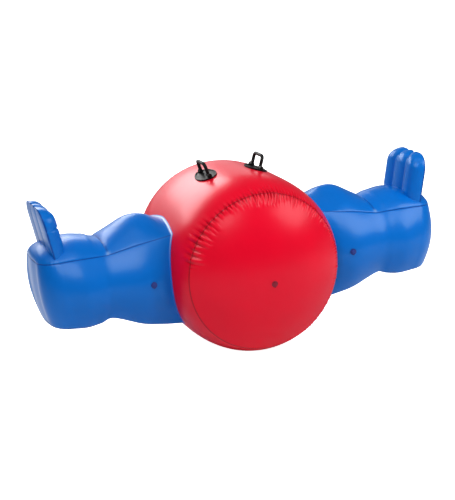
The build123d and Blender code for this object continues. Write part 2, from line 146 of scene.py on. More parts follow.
def pvc_film(name, colour, deep, whitened_and_highlight):
    """Calendered PVC film, heat welded and blown tight.

    It is smooth and glossy with a slight orange peel. It darkens along a weld's pressed line,
    which is partly the weld's own darker line and partly painted shade of the seam's groove
    and of the folds between gathers. It goes pale beside some welds, partly with stress
    whitening where a weld's edge stretches it and partly with painted highlights.
    """
    # Pigment drifts over about 320 mm and the film's slack waves over about 110 mm. Its orange
    # peel is 1 to 2 mm across, too fine to show, so it is drawn at 9 mm.
    material, tree, place = new_material(name)
    drift = add_node(
        tree, "ShaderNodeTexNoise", {"Vector": place, "Scale": per_metre(320), "Detail": 2.0}
    ).outputs[0]
    peel = add_node(
        tree, "ShaderNodeTexNoise", {"Vector": place, "Scale": per_metre(9), "Detail": 3.0}
    ).outputs[0]
    slack = add_node(
        tree, "ShaderNodeTexNoise", {"Vector": place, "Scale": per_metre(110), "Detail": 1.5}
    ).outputs[0]
    # First attribute: a weld's own darker line with painted shade of its groove and of the
    # gathers' folds. Second: stress whitening with painted highlights.
    weld = add_node(tree, "ShaderNodeAttribute", attribute_name="weld").outputs["Fac"]
    strain_and_highlight = add_node(tree, "ShaderNodeAttribute", attribute_name="strain_and_highlight").outputs["Fac"]
    shown = colour
    darker = [0.82 * c for c in colour[:3]] + [1.0]
    for amount, other in ((drift, darker), (weld, deep), (strain_and_highlight, whitened_and_highlight)):
        shown = add_node(
            tree, "ShaderNodeMix", {"Factor": amount, 6: shown, 7: other}, data_type="RGBA"
        ).outputs[2]
    height = add_node(
        tree, "ShaderNodeMath", {0: peel, 1: 0.08, 2: slack}, operation="MULTIPLY_ADD"
    ).outputs[0]
    bump = add_node(
        tree, "ShaderNodeBump", {"Height": height, "Strength": 0.35, "Distance": 0.002}
    ).outputs[0]
    roughness = add_node(
        tree, "ShaderNodeMapRange", {"Value": drift, "To Min": 0.26, "To Max": 0.36}
    ).outputs[0]
    shader = add_node(
        tree,
        "ShaderNodeBsdfPrincipled",
        {
            "Base Color": shown,
            "Roughness": roughness,
            "IOR": 1.54,
            "Specular IOR Level": 0.25,
            "Coat Weight": 0.08,
            "Coat Roughness": 0.15,
            "Normal": bump,
        },
    ).outputs[0]
    add_node(tree, "ShaderNodeOutputMaterial", {"Surface": shader})
    return material


def moulded_rubber(name, grain):
    """Injection-moulded EPDM rubber: black, satin, with a fine tool grain and greyed patches."""
    # The tool's grain is about 0.3 mm, too fine to show, so it is drawn at 2 to 3 mm. The
    # greyed patches are about 40 mm across.
    material, tree, place = new_material(name)
    grain_noise = add_node(
        tree, "ShaderNodeTexNoise", {"Vector": place, "Scale": per_metre(grain), "Detail": 4.0}
    ).outputs[0]
    patches = add_node(
        tree, "ShaderNodeTexNoise", {"Vector": place, "Scale": per_metre(40), "Detail": 2.0}
    ).outputs[0]
    shown = add_node(
        tree,
        "ShaderNodeMix",
        {"Factor": patches, 6: linear(0x060607), 7: linear(0x101012)},
        data_type="RGBA",
    ).outputs[2]
    bump = add_node(
        tree, "ShaderNodeBump", {"Height": grain_noise, "Strength": 0.4, "Distance": 0.0006}
    ).outputs[0]
    roughness = add_node(
        tree, "ShaderNodeMapRange", {"Value": patches, "To Min": 0.42, "To Max": 0.56}
    ).outputs[0]
    shader = add_node(
        tree,
        "ShaderNodeBsdfPrincipled",
        {
            "Base Color": shown,
            "Roughness": roughness,
            "IOR": 1.5,
            "Specular IOR Level": 0.35,
            "Normal": bump,
        },
    ).outputs[0]
    add_node(tree, "ShaderNodeOutputMaterial", {"Surface": shader})
    return material


def soft_vinyl(name, colour, deep):
    """Plasticised vinyl moulding: waxy, slightly clouded, softer in gloss than the film."""
    # The clouding is about 14 mm across.
    material, tree, place = new_material(name)
    cloud = add_node(
        tree, "ShaderNodeTexNoise", {"Vector": place, "Scale": per_metre(14), "Detail": 3.0}
    ).outputs[0]
    bump = add_node(
        tree, "ShaderNodeBump", {"Height": cloud, "Strength": 0.2, "Distance": 0.0004}
    ).outputs[0]
    shown = add_node(
        tree, "ShaderNodeMix", {"Factor": cloud, 6: colour, 7: deep}, data_type="RGBA"
    ).outputs[2]
    roughness = add_node(
        tree, "ShaderNodeMapRange", {"Value": cloud, "To Min": 0.38, "To Max": 0.5}
    ).outputs[0]
    shader = add_node(
        tree,
        "ShaderNodeBsdfPrincipled",
        {
            "Base Color": shown,
            "Roughness": roughness,
            "IOR": 1.5,
            "Subsurface Weight": 0.2,
            "Subsurface Scale": 0.003,
            "Normal": bump,
        },
    ).outputs[0]
    add_node(tree, "ShaderNodeOutputMaterial", {"Surface": shader})
    return material


def finish_of(name):
    """A finish by name, made the first time it is asked for."""
    if name in bpy.data.materials:
        return bpy.data.materials[name]
    film = bpy.context.scene.seesaw_film
    # Third colour: a weld's darker line with painted shade of grooves and folds. Fourth: stress
    # whitening with painted highlights.
    if name == "red_pvc_film":
        return pvc_film(name, [*film.red, 1.0], linear(0x8A0018), linear(0xFF8FA3))
    if name == "blue_pvc_film":
        return pvc_film(name, [*film.blue, 1.0], linear(0x013A86), linear(0xA9CDF7))
    if name == "blue_pvc_weld":
        return pvc_film(name, linear(0x0466C6), linear(0x0A4C9C), linear(0xE4F0FF))
    if name == "moulded_rubber_pad":
        return moulded_rubber(name, 3.0)
    if name == "moulded_rubber_grip":
        return moulded_rubber(name, 1.8)
    if name == "red_soft_vinyl":
        return soft_vinyl(name, linear(0x6A0824), linear(0xA02840))
    return soft_vinyl(name, linear(0x10296E), linear(0x3A4C9E))


# ---- Making meshes ----------------------------------------------------------
def spaced(length, count, near=(0.0, 0.0012, 0.003, 0.006, 0.011, 0.018)):
    """Shares from 0 to 1 of a length, close together at both ends and even between."""
    ends = np.array(near) / length
    middle = np.linspace(ends[-1], 1 - ends[-1], count)
    return np.concatenate([ends[:-1], middle, (1 - ends[:-1])[::-1]])


def grid_faces(columns, rows, first=0):
    """Quads of a grid of points, column after column."""
    index = first + np.arange(columns * rows).reshape(columns, rows)
    corners = (index[:-1, :-1], index[1:, :-1], index[1:, 1:], index[:-1, 1:])
    return np.stack(corners, -1).reshape(-1, 4).tolist()


def ring_faces(counts):
    """Faces between closed rings of points; where the count changes, one face spans several."""
    faces = []
    start = 0
    for count, following in zip(counts, counts[1:]):
        after = start + count
        coarse = min(count, following)
        for k in range(coarse):
            ratios = (count // coarse, following // coarse)
            here = [start + (k * ratios[0] + j) % count for j in range(ratios[0] + 1)]
            there = [after + (k * ratios[1] + j) % following for j in range(ratios[1] + 1)]
            faces.append(here + there[::-1])
        start = after
    return faces


def sheet_mesh(name, points, faces, inside, values, thickness=FILM):
    """A closed sheet: points and faces are its outer skin, inside is a point behind it."""
    skin = bpy.data.meshes.new("skin")
    skin.from_pydata(points.tolist(), [], faces)
    normals = np.zeros(len(points) * 3)
    skin.vertices.foreach_get("normal", normals)
    normals = normals.reshape(-1, 3)
    bpy.data.meshes.remove(skin)
    if ((points - np.array(inside)) * normals).sum() < 0:
        faces = [face[::-1] for face in faces]
        normals = -normals
    count = len(points)
    directed = [(a, b) for face in faces for a, b in zip(face, face[1:] + face[:1])]
    known = set(directed)
    rim = [(b, a, a + count, b + count) for a, b in directed if (b, a) not in known]
    back = [[corner + count for corner in face[::-1]] for face in faces]
    mesh = bpy.data.meshes.new(name)
    both = np.vstack([points, points - normals * thickness])
    mesh.from_pydata(both.tolist(), [], faces + back + rim)
    for key, value in values.items():
        layer = mesh.attributes.new(key, "FLOAT", "POINT")
        layer.data.foreach_set("value", np.tile(np.ravel(value), 2).astype(np.float32))
    mesh.shade_smooth()
    mesh.set_sharp_from_angle(angle=SHARP_ANGLE)
    mesh.validate()
    return mesh


def place_piece(name, mesh, finish, body="root", stands_for=()):
    """Put a mesh in the scene as a piece of the object that rides on a CAD body."""
    piece = bpy.data.objects.new(name, mesh)
    bpy.context.scene.collection.objects.link(piece)
    piece.data.materials.append(finish_of(finish))
    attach(piece, body)
    if stands_for:
        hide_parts(*stands_for)
    return piece


def place_film(name, points, faces, inside, weld, strain_and_highlight, colour="blue"):
    """Put the film that stands for a CAD node in the scene, with its welds and painted shade, and
    its strain and painted highlights.
    """
    values = {"weld": weld, "strain_and_highlight": strain_and_highlight}
    mesh = sheet_mesh(name + "_film", points, faces, inside, values)
    return place_piece(name + "_film", mesh, colour + "_pvc_film", stands_for=[name])


def from_edges(points):
    """Distance of each point of a grid from the nearer end of its row, along the surface."""
    steps = np.linalg.norm(np.diff(points, axis=1), axis=2)
    run = np.concatenate([np.zeros((len(points), 1)), np.cumsum(steps, axis=1)], axis=1)
    return np.minimum(run, run[:, -1:] - run)


def grid_normals(points, inside):
    """Unit normals of a grid of points, away from a point behind it."""
    across = np.gradient(points, axis=1)
    along = np.gradient(points, axis=0)
    normals = np.cross(across, along)
    normals /= np.maximum(np.linalg.norm(normals, axis=2), 1e-9)[..., None]
    facing = np.sign(((points - np.array(inside)) * normals).sum(2))
    return normals * facing[..., None]


def fade(distance, reach):
    """1 at no distance, falling smoothly to nothing well past reach."""
    return np.exp(-((distance / reach) ** 2))


# ---- Drum -------------------------------------------------------------------
FINE_COLUMNS = 1440
COARSE_COLUMNS = 180


def barrel_radius(y):
    """Outer radius of the drum's wall, y along its axis."""
    fullness = 1 - np.abs(2 * y / DRUM_LENGTH) ** BARREL_POWER
    return RIM_RADIUS + (DRUM_RADIUS - RIM_RADIUS) * fullness


# Gathers round a rim: degrees from the top towards +X, spacing, height, length each side.
FRONT_GATHERS = [
    (-180, 0.018, 0.0004, 0.012),
    (-80, 0.026, 0.0005, 0.016),
    (-72, 0.036, 0.0100, 0.050),
    (-60, 0.036, 0.0125, 0.054),
    (-50, 0.032, 0.0085, 0.038),
    (-30, 0.030, 0.0080, 0.038),
    (-10, 0.022, 0.0090, 0.046),
    (12, 0.021, 0.0105, 0.050),
    (30, 0.018, 0.0075, 0.036),
    (55, 0.016, 0.0045, 0.024),
    (90, 0.017, 0.0036, 0.020),
    (150, 0.018, 0.0030, 0.016),
    (180, 0.018, 0.0008, 0.012),
]
REAR_GATHERS = [
    (-180, 0.020, 0.0045, 0.028),
    (0, 0.024, 0.0055, 0.034),
    (180, 0.020, 0.0045, 0.028),
]
# The darkness in the folds between gathers is painted shade.
DARK_FROM = 0.006  # gathers this tall have fully dark folds between them
RIM_SLOPE = 0.73  # how far the way out at a rim leans away from the drum's axis

# Distances of the finely divided rings from a rim's seam, and where the plain ones start.
NEAR_RIM = [0.0, 0.0012, 0.003, 0.0055, 0.009, 0.013, 0.018, 0.024, 0.031, 0.040, 0.052, 0.068]
PLAIN_FROM = 0.085


def gather_ridges(table, angles, seed):
    """Height and length in metres of a rim's gathers at each angle, and the painted shade in the
    folds between them.
    """
    degrees, spacing, height, length = (np.array(column) for column in zip(*table))
    turn = np.degrees(angles)
    pitch = np.interp(turn, degrees, spacing)
    # The spacing wanders by up to a third, and a whole number of ridges closes the round.
    wander = 1 + 0.22 * np.sin(turn * 0.61 + seed) + 0.13 * np.sin(turn * 1.73 + 2 * seed)
    phase = np.cumsum(RIM_RADIUS * (angles[1] - angles[0]) / (pitch * wander))
    phase *= round(phase[-1]) / phase[-1]
    ridge = np.floor(phase).astype(int)
    lively = np.random.default_rng(seed)
    tall = lively.uniform(0.35, 1.15, ridge.max() + 1)
    long = lively.uniform(0.65, 1.25, ridge.max() + 1)
    rise = np.abs(np.sin(math.pi * phase)) ** 0.9
    reach = long[ridge] * np.interp(turn, degrees, length)
    crest = np.interp(turn, degrees, height)
    shade = (1 - rise) ** 0.7 * np.clip(crest / DARK_FROM, 0, 1)
    return rise * tall[ridge] * crest, reach, shade


def drum_ring(angles, radius, y):
    """A ring round the drum's axis, flat where it rests; the angle runs from the top to +X."""
    height = np.maximum(AXIS_HEIGHT + radius * np.cos(angles), 0)
    return np.stack([radius * np.sin(angles), np.full(len(angles), y), height], -1)


def rim_out(side, angles):
    """Unit directions that point away from the drum midway between its wall and its cap."""
    along = np.full(len(angles), side * math.sqrt(1 - RIM_SLOPE**2))
    return np.stack([RIM_SLOPE * np.sin(angles), along, RIM_SLOPE * np.cos(angles)], -1)


def gathered_ring(side, radius, y, away, drum):
    """A fine ring near a rim, lifted by the gathers, away from the seam, and its darkness: the
    rim's weld line and painted shade in the folds.
    """
    angles = np.linspace(-math.pi, math.pi, FINE_COLUMNS, endpoint=False)
    table = FRONT_GATHERS if side < 0 else REAR_GATHERS
    height, length, shade = gather_ridges(table, angles, drum.seed + (side > 0))
    lift = height * fade(away, length) - drum.groove * fade(away, GROOVE_REACH)
    # Painted shade in the folds between gathers, fuller where the gathers stand taller.
    folds = drum.fold_shade_tone * shade * fade(away, 0.55 * length)
    dark = np.maximum(fade(away, RIM_SEAM_REACH), folds)
    return drum_ring(angles, radius, y) + lift[:, None] * rim_out(side, angles), dark


def build_drum_wall(drum):
    """Barrel wall between the two rims."""
    rings = []
    half = DRUM_LENGTH / 2
    slant = math.hypot(1.0, 0.6)  # the wall falls about 6 mm in its last 10 mm
    for away in NEAR_RIM:
        y = -half + away / slant
        rings.append(gathered_ring(-1, barrel_radius(y), y, away, drum))
    plain = np.linspace(-math.pi, math.pi, COARSE_COLUMNS, endpoint=False)
    for y in np.linspace(-half + PLAIN_FROM, half - PLAIN_FROM, 24):
        rings.append((drum_ring(plain, barrel_radius(y), y), 0 * plain))
    for away in NEAR_RIM[::-1]:
        y = half - away / slant
        rings.append(gathered_ring(1, barrel_radius(y), y, away, drum))
    points, shades = zip(*rings)
    faces = ring_faces([len(ring) for ring in points])
    # The rim's weld line with painted shade of its groove and of the gathers' folds.
    weld = np.concatenate(shades) * drum.weld_and_shade_tone
    place_film("drum_wall", np.vstack(points), faces, (0, 0, AXIS_HEIGHT), weld, 0 * weld, "red")


def build_drum_cap(name, side, drum):
    """Domed end cap: fine rings at the gathers, plain ones over the dome, one middle point."""
    sphere = (RIM_RADIUS**2 + CAP_BULGE**2) / (2 * CAP_BULGE)
    rim_turn = math.asin(RIM_RADIUS / sphere)
    plain = np.linspace(-math.pi, math.pi, COARSE_COLUMNS, endpoint=False)
    rings = []

    def dome_place(turn):
        height = CAP_BULGE - sphere + sphere * math.cos(turn)
        return sphere * math.sin(turn), side * (DRUM_LENGTH / 2 + height)

    for away in NEAR_RIM:
        radius, y = dome_place(rim_turn - away / sphere)
        rings.append(gathered_ring(side, radius, y, away, drum))
    for turn in np.linspace(rim_turn - PLAIN_FROM / sphere, 0.02, 22):
        radius, y = dome_place(turn)
        rings.append((drum_ring(plain, radius, y), 0 * plain))
    rings.append(([[0, dome_place(0)[1], AXIS_HEIGHT]], [0]))
    points, shades = zip(*rings)
    counts = [len(ring) for ring in points[:-1]]
    middle = sum(counts)
    last = middle - COARSE_COLUMNS
    fan = [[last + k, last + (k + 1) % COARSE_COLUMNS, middle] for k in range(COARSE_COLUMNS)]
    faces = ring_faces(counts) + fan
    # The rim's weld line with painted shade of its groove and of the gathers' folds.
    weld = np.concatenate(shades) * drum.weld_and_shade_tone
    place_film(name, np.vstack(points), faces, (0, 0, AXIS_HEIGHT), weld, 0 * weld, "red")


# ---- Riding arms ------------------------------------------------------------
def blended(rows, steps):
    """The rows with steps - 1 more in each gap, on a smooth curve through them."""
    table = np.array(rows)
    smooth = []
    for index in range(len(table) - 1):
        a, b, c = table[max(index - 1, 0)], table[index], table[index + 1]
        d = table[min(index + 2, len(table) - 1)]
        for t in np.arange(steps) / steps:
            smooth.append(
                b
                + t * (c - a) / 2
                + t**2 * (a - 2.5 * b + 2 * c - d / 2)
                + t**3 * (1.5 * (b - c) + (d - a) / 2)
            )
    return np.array(smooth + [table[-1]])


STRAIGHT = blended([ROOT_ROW, *INNER_LOBE_ROWS, WAIST_ROW, *SEAT_ROWS, CORNER_ROW], 24)


def straight_rows(reach):
    """The arm's fields at distances from the drum's axis, up to the rounded corner."""
    return [np.interp(reach, STRAIGHT[:, 0], STRAIGHT[:, field]) for field in range(1, 7)]


def corner_rows(turn):
    """The arm's reach and fields at angles round its rounded outer corner."""
    start, width, top, bottom, crown, belly, bulge = CORNER_ROW
    share = turn / (math.pi / 2)
    return (
        start + CORNER_RADIUS * np.sin(turn),
        width - CORNER_RADIUS + CORNER_RADIUS * np.cos(turn),
        top + (END_TOP - top) * share,
        bottom + (END_BOTTOM - bottom) * share,
        crown * np.cos(turn) ** 0.7,
        belly * np.cos(turn) ** 0.7,
        bulge + (END_BULGE - bulge) * share,
    )


def valley(reach, arm):
    """Extra rise each side of the welded waist, which leaves a crease across the arm."""
    away = np.abs(reach - WAIST_ROW[0]) / arm.valley_reach
    return arm.valley_rise * away * np.exp(1 - away)


def swell(across, reach, arm):
    """Share of the crown at -1 to 1 across a blown panel, flat at the foot, fuller outwards."""
    outward = np.clip((reach - DRUM_RADIUS) / (CORNER_ROW[0] - DRUM_RADIUS), 0, 1) ** 0.7
    power = arm.foot_fullness + (arm.fullness - arm.foot_fullness) * outward
    return (1 - np.abs(across) ** (1.5 + 0.7 * outward)) ** power


def end_bow(across, arm):
    """How far the outer end stands out past its corners."""
    return arm.end_bow * np.cos(across * math.pi / 2) ** 2


def tucked(reach):
    """Where the bottom seam lies, drawn in towards the outer end."""
    share = (reach - WAIST_ROW[0]) / (CORNER_ROW[0] - WAIST_ROW[0])
    return reach - END_TUCK * np.clip(share, 0, 1)


def landing(section):
    """Reach at which a lengthwise line of the arm meets the drum; section gives y and z."""
    reach = 0.42  # a first guess, then half the way that is left at each step
    for _ in range(40):
        y, z = section(reach)
        reach += 0.5 * (math.sqrt(barrel_radius(y) ** 2 - z**2) - reach)
    return reach


def top_section(across, arm):
    """Function of reach that gives y and z on the top panel."""

    def section(reach):
        width, top, _, crown, _, _ = straight_rows(reach)
        return width * across, top + (crown + valley(reach, arm)) * swell(across, reach, arm)

    return section


def bottom_section(across, arm):
    """Function of reach that gives y and z on the bottom panel."""

    def section(reach):
        width, _, bottom, _, belly, _ = straight_rows(reach)
        return width * across, bottom - belly * swell(across, reach, arm)

    return section


def wall_section(down):
    """Function of reach that gives y and z on the side wall."""

    def section(reach):
        width, top, bottom, _, _, bulge = straight_rows(reach)
        return width + bulge * (1 - (2 * down - 1) ** 2), top + (bottom - top) * down

    return section


# Steps along the arm: from its foot to the waist, on to the corner, and round the corner.
ROOT_SHARES = np.concatenate([[0, 0.006, 0.015], np.linspace(0.03, 1, 34)])
SEAT_REACHES = np.linspace(WAIST_ROW[0], CORNER_ROW[0], 34)[1:]
CORNER_TURNS = np.radians(np.concatenate([np.linspace(2.5, 80, 32), [83, 86, 88, 89.3, 90]]))


def straight_reaches(feet):
    """Reach of every lengthwise line at each step from its foot to the corner."""
    to_waist = [feet + (WAIST_ROW[0] - feet) * share for share in ROOT_SHARES]
    return to_waist + [reach + 0 * feet for reach in SEAT_REACHES]


def gather_wave(turn, count, seed):
    """Small ridges round the outer corner, none at its two ends."""
    phase = turn / (math.pi / 2)
    envelope = np.sin(np.clip(phase, 0, 1) * math.pi) ** 0.6
    wander = phase * count + 0.35 * np.sin(phase * 9 + seed)
    return envelope * np.abs(np.sin(math.pi * wander))


def from_outer_end(points):
    """Distance of each point of an arm panel from the panel's outer end, along the surface."""
    steps = np.linalg.norm(np.diff(points, axis=0), axis=2)
    run = np.cumsum(steps[::-1], axis=0)[::-1]
    return np.concatenate([run, np.zeros((1, points.shape[1]))])


def panel_columns(section, arm, is_top):
    """Lengthwise columns of a top or bottom panel, each with the reach of every point."""
    shares = spaced(2 * WAIST_ROW[1], 44)
    across = 2 * shares - 1
    feet = np.array([landing(section(value, arm)) for value in across])
    columns = []
    for reach in straight_reaches(feet):
        width, top, bottom, crown, belly, _ = straight_rows(reach)
        columns.append((reach, width, top, bottom, crown, belly, 0 * reach))
    for turn in CORNER_TURNS:
        reach, width, top, bottom, crown, belly, _ = corner_rows(turn)
        share = (turn / (math.pi / 2)) ** 2
        bowed = reach + share * end_bow(across, arm)
        columns.append((bowed, width, top, bottom, crown, belly, turn + 0 * across))
    points = []
    for reach, width, top, bottom, crown, belly, _ in columns:
        if is_top:
            height = top + (crown + valley(reach, arm)) * swell(across, reach, arm)
            x = reach
        else:
            height = bottom - belly * swell(across, reach, arm)
            x = tucked(np.minimum(reach, CORNER_ROW[0])) + np.maximum(reach - CORNER_ROW[0], 0)
        points.append(np.stack([x, width * across, AXIS_HEIGHT + height], -1))
    points = np.array(points)
    edges = np.minimum(from_edges(points), from_outer_end(points))
    ruck = np.array([gather_wave(column[6], arm.gather_count, 1) for column in columns])
    lift = arm.gather_height * ruck * fade(edges, arm.gather_length)
    lift = lift - arm.groove * fade(edges, GROOVE_REACH)
    points += lift[..., None] * grid_normals(points, (0.75, 0, AXIS_HEIGHT))
    waist = np.abs(np.array([column[0] for column in columns]) - WAIST_ROW[0])
    return points, fade(edges, SEAM_REACH), waist, edges


def build_arm_panel(prefix, side, kind, arm):
    """Top or bottom panel of an arm, from the drum to the outer end seam."""
    is_top = kind == "top"
    section = top_section if is_top else bottom_section
    points, seam_lines_and_shade, waist, edges = panel_columns(section, arm, is_top)
    points[..., 0] *= side
    # The waist's weld is a dark line, its own darker line with painted shade of the crease.
    # Beside it near the arm's sides is a painted highlight, a glint.
    crease = 0.55 * fade(waist, 0.004) if is_top else 0 * waist
    glint = fade(waist, 0.010) * fade(edges - 0.012, 0.012) * 0.5 if is_top else 0 * waist
    welds = np.maximum(seam_lines_and_shade, crease) * arm.weld_and_shade_tone
    name = f"{prefix}_arm_{kind}_panel"
    faces = grid_faces(*points.shape[:2])
    inside = (side * 0.75, 0, AXIS_HEIGHT)
    place_film(name, points.reshape(-1, 3), faces, inside, welds, glint)


def build_arm_wall(prefix, side, arm):
    """Side wall: up one side from the drum, round the outer end and back to the drum."""
    downs = spaced(WALL_HEIGHT, 40)
    feet = np.array([landing(wall_section(down)) for down in downs])
    bow_share = 1 - (2 * downs - 1) ** 2
    stations = []

    def station(reach, width, top, bottom, bulge, turn, out_x=0):
        low = tucked(np.minimum(reach, CORNER_ROW[0])) + np.maximum(reach - CORNER_ROW[0], 0)
        chord = downs * (top - bottom)
        edge = np.minimum(chord, (top - bottom) - chord)
        ruck = arm.gather_height * gather_wave(turn, arm.gather_count, 1)
        out = bulge * bow_share + ruck * fade(edge, arm.gather_length)
        out -= arm.groove * fade(edge, GROOVE_REACH)
        x = reach + (low - reach) * downs + out * math.sin(turn) + out_x
        y = width + out * math.cos(turn)
        return np.stack([x, y, AXIS_HEIGHT + top - chord], -1)

    for reach in straight_reaches(feet):
        width, top, bottom, _, _, bulge = straight_rows(reach)
        stations.append(station(reach, width, top, bottom, bulge, 0.0))
    for turn in CORNER_TURNS:
        reach, width, top, bottom, _, _, bulge = corner_rows(turn)
        stations.append(station(reach + 0 * downs, width, top, bottom, bulge, turn))
    end_width = CORNER_ROW[1] - CORNER_RADIUS
    reach, _, top, bottom, _, _, bulge = corner_rows(math.pi / 2)
    end = []
    for across in np.linspace(1, -1, 17)[1:-1]:
        out_x = end_bow(across, arm)
        end.append(
            station(reach + 0 * downs, end_width * across, top, bottom, bulge, math.pi / 2, out_x)
        )
    rear = np.array(stations)
    front = rear[::-1] * (1, -1, 1)
    points = np.concatenate([rear, end, front])
    points[..., 0] *= side
    # Seam lines: a weld's darker line with painted shade of its groove.
    welds = fade(from_edges(points), SEAM_REACH) * arm.weld_and_shade_tone
    name = f"{prefix}_arm_side_wall"
    faces = grid_faces(*points.shape[:2])
    inside = (side * 0.8, 0, AXIS_HEIGHT)
    place_film(name, points.reshape(-1, 3), faces, inside, welds, 0 * welds)


def foot_outline(arm):
    """Closed outline of the arm's foot on the drum, as y and z from the drum's axis."""
    across = np.linspace(-1, 1, 41)
    downs = np.linspace(0, 1, 41)
    top = [top_section(a, arm)(landing(top_section(a, arm))) for a in across]
    rear = [wall_section(d)(landing(wall_section(d))) for d in downs]
    bottom = [bottom_section(a, arm)(landing(bottom_section(a, arm))) for a in across[::-1]]
    front = [(-y, z) for y, z in rear[::-1]]
    return np.array(top[:-1] + rear[:-1] + bottom[:-1] + front[:-1])


def build_arm_flange(prefix, side, arm):
    """Weld margin round the arm's foot: a strip that rolls from the arm down on to the drum."""
    outline = foot_outline(arm)
    along = np.roll(outline, -1, 0) - np.roll(outline, 1, 0)
    outward = np.stack([-along[:, 1], along[:, 0]], -1)
    outward /= np.linalg.norm(outward, axis=1)[:, None]
    if (outward * outline).sum() < 0:
        outward = -outward
    # Steps across the strip: distance out from the foot, and height above the drum.
    profile = [(-0.0006, 0.0080), (0.0010, 0.0064), (0.0024, 0.0038), (0.0044, 0.0024)]
    profile += [(0.0080, 0.0018), (ARM_FLANGE_WIDTH - 0.002, 0.0016), (ARM_FLANGE_WIDTH, 0.0006)]
    loops = []
    for out, lift in profile:
        y, z = (outline + outward * out).T
        x = np.sqrt(barrel_radius(y) ** 2 - z**2) + lift
        loops.append(np.stack([side * x, y, AXIS_HEIGHT + z], -1))
    count = len(outline)
    # The strip goes white where it bends, most of all along the top of the foot: partly stress
    # whitening, partly a painted highlight where the bend faces the lights.
    high = np.clip(outline[:, 1] / FOOT_TOP, 0, 1) ** 4
    strain_and_highlight = np.outer([0.0, 0.1, 0.5, 0.9, 0.4, 0.1, 0.3], 0.1 + 0.9 * high).ravel()
    name = f"{prefix}_arm_weld_flange"
    mesh = sheet_mesh(
        name + "_strip",
        np.vstack(loops),
        ring_faces([count] * len(loops)),
        (0, 0, AXIS_HEIGHT),
        thickness=0.0005,
        values={"weld": strain_and_highlight * 0, "strain_and_highlight": strain_and_highlight},
    )
    place_piece(name + "_strip", mesh, "blue_pvc_weld", stands_for=[name])


def build_arm_inner_end(prefix, side, arm):
    """End wall that closes the arm against the drum, inside the foot's outline."""
    outline = foot_outline(arm)
    middle = outline.mean(0)
    shares = np.linspace(0.997, 0.1, 14)
    spots = np.vstack([middle + share * (outline - middle) for share in shares] + [middle])
    y, z = spots.T
    x = np.sqrt(barrel_radius(y) ** 2 - z**2) + INNER_END_OUT
    points = np.stack([side * x, y, AXIS_HEIGHT + z], -1)
    count = len(outline)
    last = count * (len(shares) - 1)
    faces = ring_faces([count] * len(shares))
    faces += [[last + k, last + (k + 1) % count, len(points) - 1] for k in range(count)]
    plain = np.zeros(len(points))
    place_film(f"{prefix}_arm_inner_end", points, faces, (0, 0, AXIS_HEIGHT), plain, plain)


# ---- Backrests --------------------------------------------------------------
def lobe_profile(across, lobe_depth):
    """Depth of a backrest's panel at -1 to 1 across its width, from the middle."""
    lobe = np.clip(np.floor((across + 1) / 2 * LOBE_COUNT), 0, LOBE_COUNT - 1)
    inside = (across + 1) / 2 * LOBE_COUNT - lobe
    bow = (1 - np.abs(2 * inside - 1) ** 2.2) ** 0.62
    left = np.where(lobe == 0, 0.0, CHANNEL_DEPTH)
    right = np.where(lobe == LOBE_COUNT - 1, 0.0, CHANNEL_DEPTH)
    base = np.where(inside < 0.5, left, right)
    return base + (lobe_depth - base) * bow


def backrest_grid():
    """Across and up values of the backrest's grid, close together at its edges."""
    across = 2 * spaced(BACKREST_WIDTH, 70) - 1
    top = 1 - 0.2 * (1 - np.linspace(0, 1, 22)[1:]) ** 1.8
    return across, np.concatenate([np.linspace(0, 0.8, 40), top]) * BACKREST_HEIGHT


# Folds across the left backrest's near lobe: share of the height, slope and depth.
LOBE_FOLDS = ((0.60, -0.14, 1.0), (0.86, 0.10, 0.7), (0.40, 0.05, 0.35))
FOLD_REACH = 0.006
TOP_CLOSING = 0.075  # length over which the panels close together at the top
BASE_RISE = 0.07  # the pillow is thinner below this height


